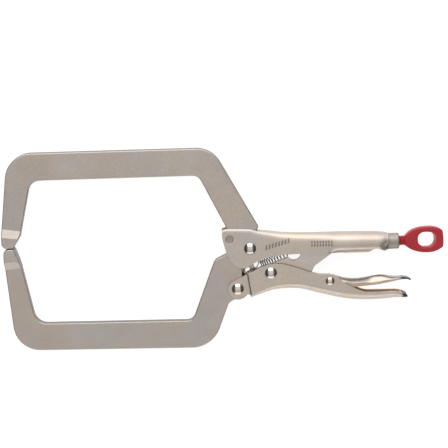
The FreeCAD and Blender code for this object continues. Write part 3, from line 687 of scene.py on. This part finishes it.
def make_lever():
    """Release lever: a small polished channel, open below, that thins out to a curved blade."""
    places = stations((57.5, 66.0, 16), (66.0, 150.0, 80), (150.0, 165.0, 20))
    outer, inner = ([both_sides(x, lever_section(x, is_inner)) for x in places]
                    for is_inner in (False, True))
    piece = shell("release_lever_sheet", outer, inner, lambda i, j: True)

    def height(x, y):
        rim, top = follow(LEVER_RIM, x), follow(LEVER_TOP, x)
        return (y - rim) / (top - rim)

    def stain(x, y, z, old):
        low = 1 - smooth_step(0.1, 0.5, height(x, y))
        low *= smooth_step(88, 98, x) * (1 - smooth_step(145, 154, x))
        return max(0.8 * old, 0.75 * low)

    # painted dark reflection: a dark streak along the middle of the lever's side, and its near-black
    # tip, stand in for dark surroundings mirrored in the steel
    def painted_dark_reflection(x, y, z, old):
        level = height(x, y)
        streak = smooth_step(0.42, 0.6, level) * (1 - smooth_step(0.72, 0.95, level))
        streak *= smooth_step(94, 101, x) * (1 - smooth_step(119, 126, x))
        return max(0.55 * streak, smooth_step(152.0, 157.0, x))

    mesh_tag(piece, "warm", stain)
    mesh_tag(piece, "dark", painted_dark_reflection)
    soften(piece, 0.25)
    return piece


# ---------------------------------------------------------------- screw, nut and loop

PITCH = 1.75
THREAD_SIDES, STEPS_PER_PITCH = 60, 14
LOOP_HALF = 4.8


def threaded(name, x_low, x_high, root, crest, fade=1.2):
    """Threaded rod along X with a real helix; the thread runs out over fade at each end."""
    steps = int((x_high - x_low) / PITCH * STEPS_PER_PITCH)
    rings = []
    for i in range(steps + 1):
        x = x_low + (x_high - x_low) * i / steps
        depth = smooth_step(x_low, x_low + fade, x) * (1 - smooth_step(x_high - fade, x_high, x))
        rings.append([])
        for k in range(THREAD_SIDES):
            angle = 2 * math.pi * k / THREAD_SIDES
            phase = (x / PITCH - k / THREAD_SIDES) % 1.0
            tooth = smooth_step(0.06, 0.42, phase) * (1 - smooth_step(0.58, 0.94, phase))
            radius = root + (crest - root) * tooth * depth
            rings[-1].append((x, radius * math.cos(angle), radius * math.sin(angle)))
    return skin(name, rings)


def make_screw():
    """Adjusting screw from its rounded tip to the shoulder under the loop."""
    piece = threaded("adjusting_screw_thread", 100.2, 154.0, 4.55, 5.45)
    tip = lathe("tip", [(97.2, 2.6), (97.5, 3.4), (98.2, 4.1), (99.4, 4.45), (100.6, 4.5)])
    cut(piece, tip, "UNION")
    return piece


def make_nut():
    """Plain round nut at the mouth of the tube."""
    profile = [(142.5, 5.6), (142.5, 8.0), (142.9, 8.35), (152.4, 8.35), (153.1, 8.2),
               (153.7, 7.8), (154.1, 7.2), (154.3, 6.5), (154.3, 6.0), (153.9, 5.6)]
    return lathe("screw_nut_collar", profile + [profile[0]], count=96)


def make_loop():
    """Forged loop: a flat rounded ring that grows out of the threaded, coated neck."""
    sides = [[Vector((x, follow(line, x))) for x in stations((line[0][0], line[-1][0], 40))]
             for line in (LOOP_TOP, LOOP_BOTTOM)]
    outline = sides[0] + [Vector(point) for point in LOOP_END] + list(reversed(sides[1]))
    ringed = plate("torque_loop_forging", [outline, rounded(LOOP_HOLE)], LOOP_HALF, 2.0)
    cut(ringed, threaded("neck", 154.5, 161.0, 4.5, 5.3, fade=0.9), "UNION")
    blend = lathe("blend", [(159.6, 4.7), (160.2, 5.15), (162.0, 5.1), (165.0, 4.75), (168.0, 4.2),
                            (170.5, 3.2)], count=60)
    cut(ringed, blend, "UNION")
    draft = [rounded([(174.5, -7.1, 6.8), (right, -7.1, 6.8), (right, 8.1, 6.8), (174.5, 8.1, 6.8)])
             for right in LOOP_DRAFT]
    cut(ringed, prism("draft", draft[0], -LOOP_HALF - 0.1, LOOP_HALF + 0.1, top=draft[1]))
    weigh_normals(ringed, 60, keep_sharp=False)
    return ringed


# ---------------------------------------------------------------- rivets, plugs and spring


def make_rivet(name, centre, grip, head, height, shank):
    """Rivet with a short wall and a polished dome on each side."""
    rise = 0.44 * head
    wall = grip + height - rise
    dome = (head * head + rise * rise) / (2 * rise)
    steps = 20
    widest = math.asin(head / dome)
    half = [(grip - 1.0, shank), (grip + 0.02, shank), (grip + 0.02, head - 0.3),
            (grip + 0.25, head), (wall, head)]
    for k in range(1, steps):
        angle = widest * (1 - k / steps)
        half.append((grip + height - dome + dome * math.cos(angle), dome * math.sin(angle)))
    half.append((grip + height, 0.04))
    profile = [(-z, r) for z, r in reversed(half)] + half
    return lathe(name, profile, (centre[0], centre[1], 0), axis="Z", count=72)


def make_plug(name, side):
    """Plug weld: a slightly sunken round spot in the handle's cheek."""
    profile = [(5.0, 4.2), (6.95, 4.2), (6.9, 3.4), (6.72, 2.6), (6.62, 1.4), (6.6, 0.05)]
    return lathe(name, [(side * z, r) for z, r in profile], (*PLUG_CENTRE, 0), axis="Z", count=48)


SPRING_START, SPRING_END = Vector((9.8, -18.1, 0)), Vector((42.6, -5.4, 0))
SPRING_RADIUS, SPRING_WIRE = 3.35, 0.46
SPRING_TURNS = 12
JAW_HOOK = [(1.4, -23.4, -3.0), (0.2, -23.4, -3.3), (-1.0, -23.4, -2.6), (-1.3, -23.3, 0.0),
            (-1.0, -22.9, 2.6), (0.4, -22.4, 3.3), (2.8, -21.8, 3.1), (5.0, -21.2, 1.9),
            (7.0, -20.5, 0.6)]
ANCHOR_HOOK = [(44.3, -3.2, 1.0), (45.8, -2.0, 1.9), (47.2, -1.2, 1.6), (47.4, -1.1, 0.0),
               (46.9, -1.4, -1.7)]


def make_spring():
    """Extension spring: close coils, then open ones, with a hook at each end."""
    length = (SPRING_END - SPRING_START).length
    along = (SPRING_END - SPRING_START).normalized()
    across = Vector((-along.y, along.x, 0))
    up = Vector((0, 0, 1))
    coil = []
    steps = SPRING_TURNS * 20
    for k in range(steps + 1):
        share = k / steps
        advance = (0.62 * share + 0.38 * share * share) * length
        angle = 2 * math.pi * SPRING_TURNS * share + 0.5 * math.pi
        coil.append(SPRING_START + along * advance
                    + (across * math.sin(angle) + up * math.cos(angle)) * SPRING_RADIUS)
    route = JAW_HOOK + coil + ANCHOR_HOOK
    drawing = bpy.data.curves.new("spring_path", "CURVE")
    drawing.dimensions = "3D"
    spline = drawing.splines.new("NURBS")
    spline.points.add(len(route) - 1)
    for point, place in zip(spline.points, route):
        point.co = (*to_row(place), 1)
    spline.order_u = 3
    spline.use_endpoint_u = True
    spline.resolution_u = 2
    drawing.bevel_depth = SPRING_WIRE * MM
    drawing.bevel_resolution = 4
    drawing.use_fill_caps = True
    return smooth_object("return_spring_wire", curve_to_mesh(drawing))


# ---------------------------------------------------------------- materials


def node(tree, kind, **settings):
    """New shader node with some of its settings or input values."""
    made = tree.nodes.new(kind)
    for name, value in settings.items():
        if name.startswith("in_"):
            made.inputs[int(name[3:])].default_value = value
        else:
            setattr(made, name, value)
    return made


class Graph:
    """Node tree of a material or world, with short ways to make its nodes."""

    def __init__(self, owner, shader, output):
        owner.use_nodes = True
        self.tree = owner.node_tree
        self.tree.nodes.clear()
        self.link = self.tree.links.new
        self.place = node(self.tree, "ShaderNodeTexCoord")
        self.shader = node(self.tree, shader)
        self.link(self.shader.outputs[0], node(self.tree, output).inputs[0])

    def noise(self, scale, detail, rough=0.6):
        """Fractal noise that is fixed to the object."""
        made = node(self.tree, "ShaderNodeTexNoise")
        made.inputs["Scale"].default_value = scale
        made.inputs["Detail"].default_value = detail
        made.inputs["Roughness"].default_value = rough
        self.link(self.place.outputs["Object"], made.inputs["Vector"])
        return made.outputs["Fac"]

    def remap(self, value, low, high, to_low, to_high, kind="LINEAR"):
        """value, clamped between low and high, on another scale."""
        made = node(self.tree, "ShaderNodeMapRange", interpolation_type=kind, in_1=low, in_2=high,
                    in_3=to_low, in_4=to_high)
        self.link(value, made.inputs[0])
        return made.outputs[0]

    def calculate(self, operation, a, b=0.0):
        """Maths on two values, each a number or another node's output."""
        made = node(self.tree, "ShaderNodeMath", operation=operation)
        for socket, value in zip(made.inputs, (a, b)):
            if isinstance(value, (int, float)):
                socket.default_value = value
            else:
                self.link(value, socket)
        return made.outputs[0]

    def split(self, vector):
        """X, Y and Z of a vector."""
        made = node(self.tree, "ShaderNodeSeparateXYZ")
        self.link(vector, made.inputs[0])
        return made.outputs

    def tag(self, name):
        """Point attribute that mesh_tag() or shell() has set."""
        return node(self.tree, "ShaderNodeAttribute", attribute_name=name).outputs["Fac"]

    def blend(self, share, a, tone):
        """Colour a, with a share of a fixed tone in it."""
        made = node(self.tree, "ShaderNodeMix", data_type="RGBA")
        made.inputs["B"].default_value = (*tone, 1)
        self.link(share, made.inputs["Factor"])
        self.link(a, made.inputs["A"])
        return made.outputs["Result"]


def etched(graph, patch):
    """Mask of one etched patch: rows of plain bars on the front face."""
    remap, calculate = graph.remap, graph.calculate
    centre, angle, length, height, pitch, lean, rows = patch
    centred = node(graph.tree, "ShaderNodeVectorMath", operation="SUBTRACT", in_1=ORIGIN)
    graph.link(graph.place.outputs["Object"], centred.inputs[0])
    level = node(graph.tree, "ShaderNodeVectorRotate", rotation_type="Z_AXIS")
    level.inputs["Center"].default_value = Vector((*centre, 0)) * MM
    level.inputs["Angle"].default_value = -math.radians(angle)
    graph.link(centred.outputs[0], level.inputs["Vector"])
    place = graph.split(level.outputs[0])
    along = calculate("SUBTRACT", place["X"], centre[0] * MM)
    across = calculate("SUBTRACT", place["Y"], centre[1] * MM)
    leaning = calculate("SUBTRACT", along, calculate("MULTIPLY", across, lean))
    bar = calculate("PINGPONG", calculate("DIVIDE", leaning, pitch * MM), 0.5)
    row = calculate("PINGPONG", calculate("DIVIDE", across, height / rows * MM), 0.5)
    if rows % 2:
        row = calculate("SUBTRACT", 0.5, row)
    mask = calculate("MULTIPLY", remap(bar, 0.20, 0.27, 0.0, 1.0), remap(row, 0.08, 0.14, 0.0, 1.0))
    for measure, size in ((leaning, length), (across, height)):
        inside = calculate("LESS_THAN", calculate("ABSOLUTE", measure), size / 2 * MM)
        mask = calculate("MULTIPLY", mask, inside)
    facing = graph.split(graph.place.outputs["Normal"])
    return calculate("MULTIPLY", mask, calculate("GREATER_THAN", facing["Z"], 0.6))


def metal(name, colour, roughness, grain=0.5, pits=0.5, metallic=1.0, bump=0.3, blotch=0.05,
          coat=0.0, painted_side_shade=0.0, marks=()):
    """Plated or painted surface: fine grain, soft blotches, tiny pits and brighter worn edges.

    The point attribute "warm" tints parts of it, and "dark" paints dark reflections onto it.  The side
    shade argument darkens the narrow side faces of a plate as painted shade, and marks are etched
    patches of plain bars."""
    material = bpy.data.materials.new(name)
    graph = Graph(material, "ShaderNodeBsdfPrincipled", "ShaderNodeOutputMaterial")
    remap, calculate, shader = graph.remap, graph.calculate, graph.shader
    shader.inputs["Metallic"].default_value = metallic
    shader.inputs["Specular IOR Level"].default_value = 0.1
    shader.inputs["Coat Weight"].default_value = coat
    shader.inputs["Coat Roughness"].default_value = 0.12

    fine, middling = graph.noise(1500.0, 3.0, 0.7), graph.noise(800.0, 3.0)
    corners = node(graph.tree, "ShaderNodeNewGeometry").outputs["Pointiness"]
    layers = [
        remap(middling, 0.3, 0.7, 1 - blotch * 0.5, 1 + blotch * 0.5),
        remap(graph.noise(26.0, 2.0), 0.3, 0.7, 1 - blotch, 1 + blotch),
        remap(graph.noise(2600.0, 1.0), 0.66, 0.74, 1.0, 1 - pits * 0.5),
        remap(corners, 0.5, 0.62, 1.0, 1.16),
    ]
    # painted shade: the narrow side faces of a plate, turned away from its front and back, are darkened
    # in colour
    if painted_side_shade:
        facing = graph.split(graph.place.outputs["Normal"])
        layers.append(remap(calculate("ABSOLUTE", facing["Z"]), 0.2, 0.75, 1 - painted_side_shade, 1.0))
    shade = remap(fine, 0.3, 0.72, 1 - grain * 0.3, 1 + grain * 0.22)
    for layer in layers:
        shade = calculate("MULTIPLY", shade, layer)

    tint = node(graph.tree, "ShaderNodeMix", data_type="RGBA")
    tint.inputs["A"].default_value = (*colour, 1)
    tint.inputs["B"].default_value = (*[c * w for c, w in zip(colour, YELLOWED)], 1)
    graph.link(remap(graph.noise(22.0, 2.0), 0.35, 0.65, 0.0, 1.0), tint.inputs["Factor"])
    tone = graph.blend(graph.tag("warm"), tint.outputs["Result"], WARM_TONE)
    # the "dark" attribute blends in painted dark reflections
    tone = graph.blend(graph.tag("dark"), tone, DARK_REFLECTION_TONE)
    for patch in marks:
        worn = calculate("MULTIPLY", etched(graph, patch), remap(middling, 0.3, 0.7, 0.6, 0.95))
        tone = graph.blend(worn, tone, ETCHED_TONE)
    shaded = node(graph.tree, "ShaderNodeVectorMath", operation="SCALE")
    graph.link(tone, shaded.inputs[0])
    graph.link(shade, shaded.inputs["Scale"])
    graph.link(shaded.outputs[0], shader.inputs["Base Color"])
    rough = remap(middling, 0.3, 0.7, roughness * 0.85, roughness * 1.15)
    graph.link(rough, shader.inputs["Roughness"])
    relief = node(graph.tree, "ShaderNodeBump")
    relief.inputs["Strength"].default_value = bump
    relief.inputs["Distance"].default_value = 0.00012
    graph.link(fine, relief.inputs["Height"])
    graph.link(relief.outputs[0], shader.inputs["Normal"])
    return material


YELLOWED = (1.02, 0.95, 0.87)  # slow drift of the plating's colour, as factors
WARM_TONE = (0.60, 0.41, 0.25)
# colour of the painted dark reflections on the lever and on the lower handle's tip
DARK_REFLECTION_TONE = (0.055, 0.05, 0.047)
ETCHED_TONE = (0.17, 0.145, 0.125)
ETCHED = (
    ((28.4, 3.3), 15.0, 27.2, 6.0, 3.4, 0.45, 1),
    ((74.0, 2.2), -0.5, 23.2, 6.8, 2.9, 0.0, 2),
)  # centre, angle, length, height, pitch, lean and rows of each etched patch
STAMPED = (0.56, 0.52, 0.485)
MATERIALS = {
    "forged_steel": metal("forged_plated_steel", (0.50, 0.465, 0.44), 0.42, grain=0.7, painted_side_shade=0.55),
    "stamped_steel": metal("stamped_plated_steel", STAMPED, 0.38, grain=0.6),
    "etched_steel": metal("etched_plated_steel", STAMPED, 0.38, grain=0.6, marks=ETCHED),
    "link_steel": metal("link_plated_steel", (0.56, 0.54, 0.52), 0.42, grain=0.5, painted_side_shade=0.3),
    "lever_steel": metal("lever_bright_steel", (0.50, 0.46, 0.43), 0.24, grain=0.25, pits=0.2,
                         bump=0.1),
    "rivet_steel": metal("polished_rivet_steel", (0.62, 0.60, 0.58), 0.15, grain=0.1, pits=0.1,
                         bump=0.03, blotch=0.04),
    "plug_steel": metal("plug_weld_steel", (0.40, 0.37, 0.34), 0.5, grain=0.9),
    "spring_wire": metal("drawn_spring_wire", (0.20, 0.195, 0.19), 0.3, grain=0.3),
    "screw_steel": metal("turned_collar_steel", (0.60, 0.565, 0.53), 0.4, grain=0.5),
    "red_coating": metal("red_coated_steel", (0.44, 0.02, 0.032), 0.42, grain=0.15, pits=0.1,
                         metallic=0.0, bump=0.12, coat=0.5),
}


def finish_piece(piece, body, slot, *nodes, look=None):
    """Material, chosen by the slot's name unless look is given, body and the CAD nodes that a piece
    stands for, which are hidden.
    """
    piece.data.materials.clear()
    piece.data.materials.append(MATERIALS[look or slot])
    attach(piece, body)
    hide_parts(*nodes)


finish_piece(make_fixed_jaw(), "fixed_frame", "forged_steel", "fixed_jaw")
finish_piece(make_moving_jaw(), "jaw", "forged_steel", "moving_jaw")
finish_piece(make_upper_handle(), "fixed_frame", "stamped_steel", "upper_handle",
             look="etched_steel")
finish_piece(make_lower_handle(), "handle", "stamped_steel", "lower_handle")
finish_piece(make_link(), "link", "link_steel", "toggle_link")
finish_piece(make_lever(), "lever", "lever_steel", "release_lever")
finish_piece(make_screw(), "screw", "screw_steel", "adjusting_screw")
finish_piece(make_nut(), "fixed_frame", "plug_steel", "screw_nut")
finish_piece(make_loop(), "loop", "red_coating", "torque_loop")
LARGE_HEAD, SMALL_HEAD = (6.2, 3.7, 4.0), (4.5, 2.9, 3.0)  # head radius and height, shank radius
RIVETS = (  # piece, CAD node, body, centre, half the thickness between the heads, head
    ("jaw_pivot_rivet_domed", "jaw_pivot_rivet", "fixed_frame", JAW_PIVOT, 7.5, LARGE_HEAD),
    ("handle_pivot_rivet_domed", "handle_pivot_rivet", "jaw", HANDLE_PIVOT, 7.55, LARGE_HEAD),
    ("link_rivet_domed", "link_rivet", "handle", LINK_PIVOT, 9.0, LARGE_HEAD),
    ("lever_rivet_domed", "lever_rivet", "handle", LEVER_PIVOT, 9.0, SMALL_HEAD),
)
for name, cad_node, body, centre, grip, head in RIVETS:
    finish_piece(make_rivet(name, centre, grip, *head), body, "rivet_steel", cad_node)
finish_piece(make_plug("plug_weld_front_spot", 1), "fixed_frame", "plug_steel", "plug_weld_front")
finish_piece(make_plug("plug_weld_back_spot", -1), "fixed_frame", "plug_steel", "plug_weld_back")
spring = make_spring()
finish_piece(spring, "fixed_frame", "spring_wire", "return_spring")
tuple(to_row((47.2, -1.2, 0)))
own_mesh(spring)
for cad_node in ("link_spacer_front", "link_spacer_back", "spring_anchor"):
    frame["nodes"][cad_node].data.materials.clear()
    frame["nodes"][cad_node].data.materials.append(MATERIALS["link_steel"])

# ---------------------------------------------------------------- floor, light and camera


def make_floor():
    """Plain pale floor under the clamp."""
    material = bpy.data.materials.new("pale_floor")
    material.use_nodes = True
    tree = material.node_tree
    shader = tree.nodes["Principled BSDF"]
    shader.inputs["Roughness"].default_value = 0.9
    shader.inputs["Specular IOR Level"].default_value = 0.1
    shader.inputs["Emission Color"].default_value = (1.0, 1.0, 1.0, 1)
    shader.inputs["Emission Strength"].default_value = 0.8
    grain = node(tree, "ShaderNodeTexNoise")
    grain.inputs["Scale"].default_value = 60.0
    ramp = node(tree, "ShaderNodeMapRange", in_1=0.3, in_2=0.7, in_3=0.41, in_4=0.43)
    tree.links.new(grain.outputs["Fac"], ramp.inputs[0])
    tree.links.new(ramp.outputs[0], shader.inputs["Base Color"])
    size = 6.0
    mesh = bpy.data.meshes.new("floor")
    mesh.from_pydata([(-size, -size, 0), (size, -size, 0), (size, size, 0), (-size, size, 0)], [],
                     [(0, 1, 2, 3)])
    mesh.materials.append(material)
    floor = add_object("floor", mesh)


def area_light(name, place, target, width, height, power):
    """Rectangular soft light aimed at a point."""
    data = bpy.data.lights.new(name, "AREA")
    data.shape = "RECTANGLE"
    data.size = width
    data.size_y = height
    data.energy = power
    light = add_object(name, data)
    light.location = place
    light.rotation_mode = "QUATERNION"
    light.rotation_quaternion = (Vector(target) - Vector(place)).to_track_quat("-Z", "Y")


def make_lights():
    """One large softbox beyond the fixed jaw, a smaller one on the other side, and a dim dome.

    The dome is brightest overhead, dark at both ends of the clamp and a little brighter towards the
    fixed jaw."""
    area_light("key", (0.0, 1.9, 1.1), (0, 0, 0), 3.0, 2.2, 33)
    area_light("fill", (0.0, -1.8, 0.65), (0, 0, 0), 2.4, 0.8, 9)
    world = bpy.data.worlds.new("studio")
    bpy.context.scene.world = world
    graph = Graph(world, "ShaderNodeBackground", "ShaderNodeOutputWorld")
    split = graph.split(graph.place.outputs["Generated"])
    dome = graph.remap(split["Z"], 0.25, 0.9, 0.26, 0.80, kind="SMOOTHSTEP")
    sideways = graph.calculate("ABSOLUTE", split["X"])
    ends = graph.remap(sideways, 0.4, 0.75, 1.0, 0.2, kind="SMOOTHSTEP")
    lean = graph.remap(split["Y"], -0.32, 0.02, 0.92, 1.2)
    strength = graph.calculate("MULTIPLY", graph.calculate("MULTIPLY", dome, ends), lean)
    graph.shader.inputs["Color"].default_value = (1.0, 0.99, 0.98, 1)
    graph.link(strength, graph.shader.inputs["Strength"])


def make_camera():
    """Long lens above the clamp, leaning to the fixed jaw's side and rolled a little."""
    lean, roll = math.radians(10.0), math.radians(2.69)
    distance = 1548.45
    aim = Vector((-25.68, 25.77, 0.0))
    right = Vector((math.cos(roll), -math.sin(roll), 0))
    up = Vector((math.sin(roll), math.cos(roll), 0))
    overhead = Vector((0, 0, 1))
    back = up * math.sin(lean) + overhead * math.cos(lean)
    screen_up = up * math.cos(lean) - overhead * math.sin(lean)
    data = bpy.data.cameras.new("camera")
    data.sensor_width = 36.0
    data.lens = 120.536
    data.clip_start, data.clip_end = 0.05, 50.0
    camera = add_object("camera", data)
    turn = Matrix((right, screen_up, back)).transposed().to_4x4()
    camera.matrix_world = Matrix.Translation(to_row(aim + back * distance)) @ turn
    bpy.context.scene.camera = camera


make_floor()
make_lights()
make_camera()
bpy.context.scene.view_settings.view_transform = "Standard"
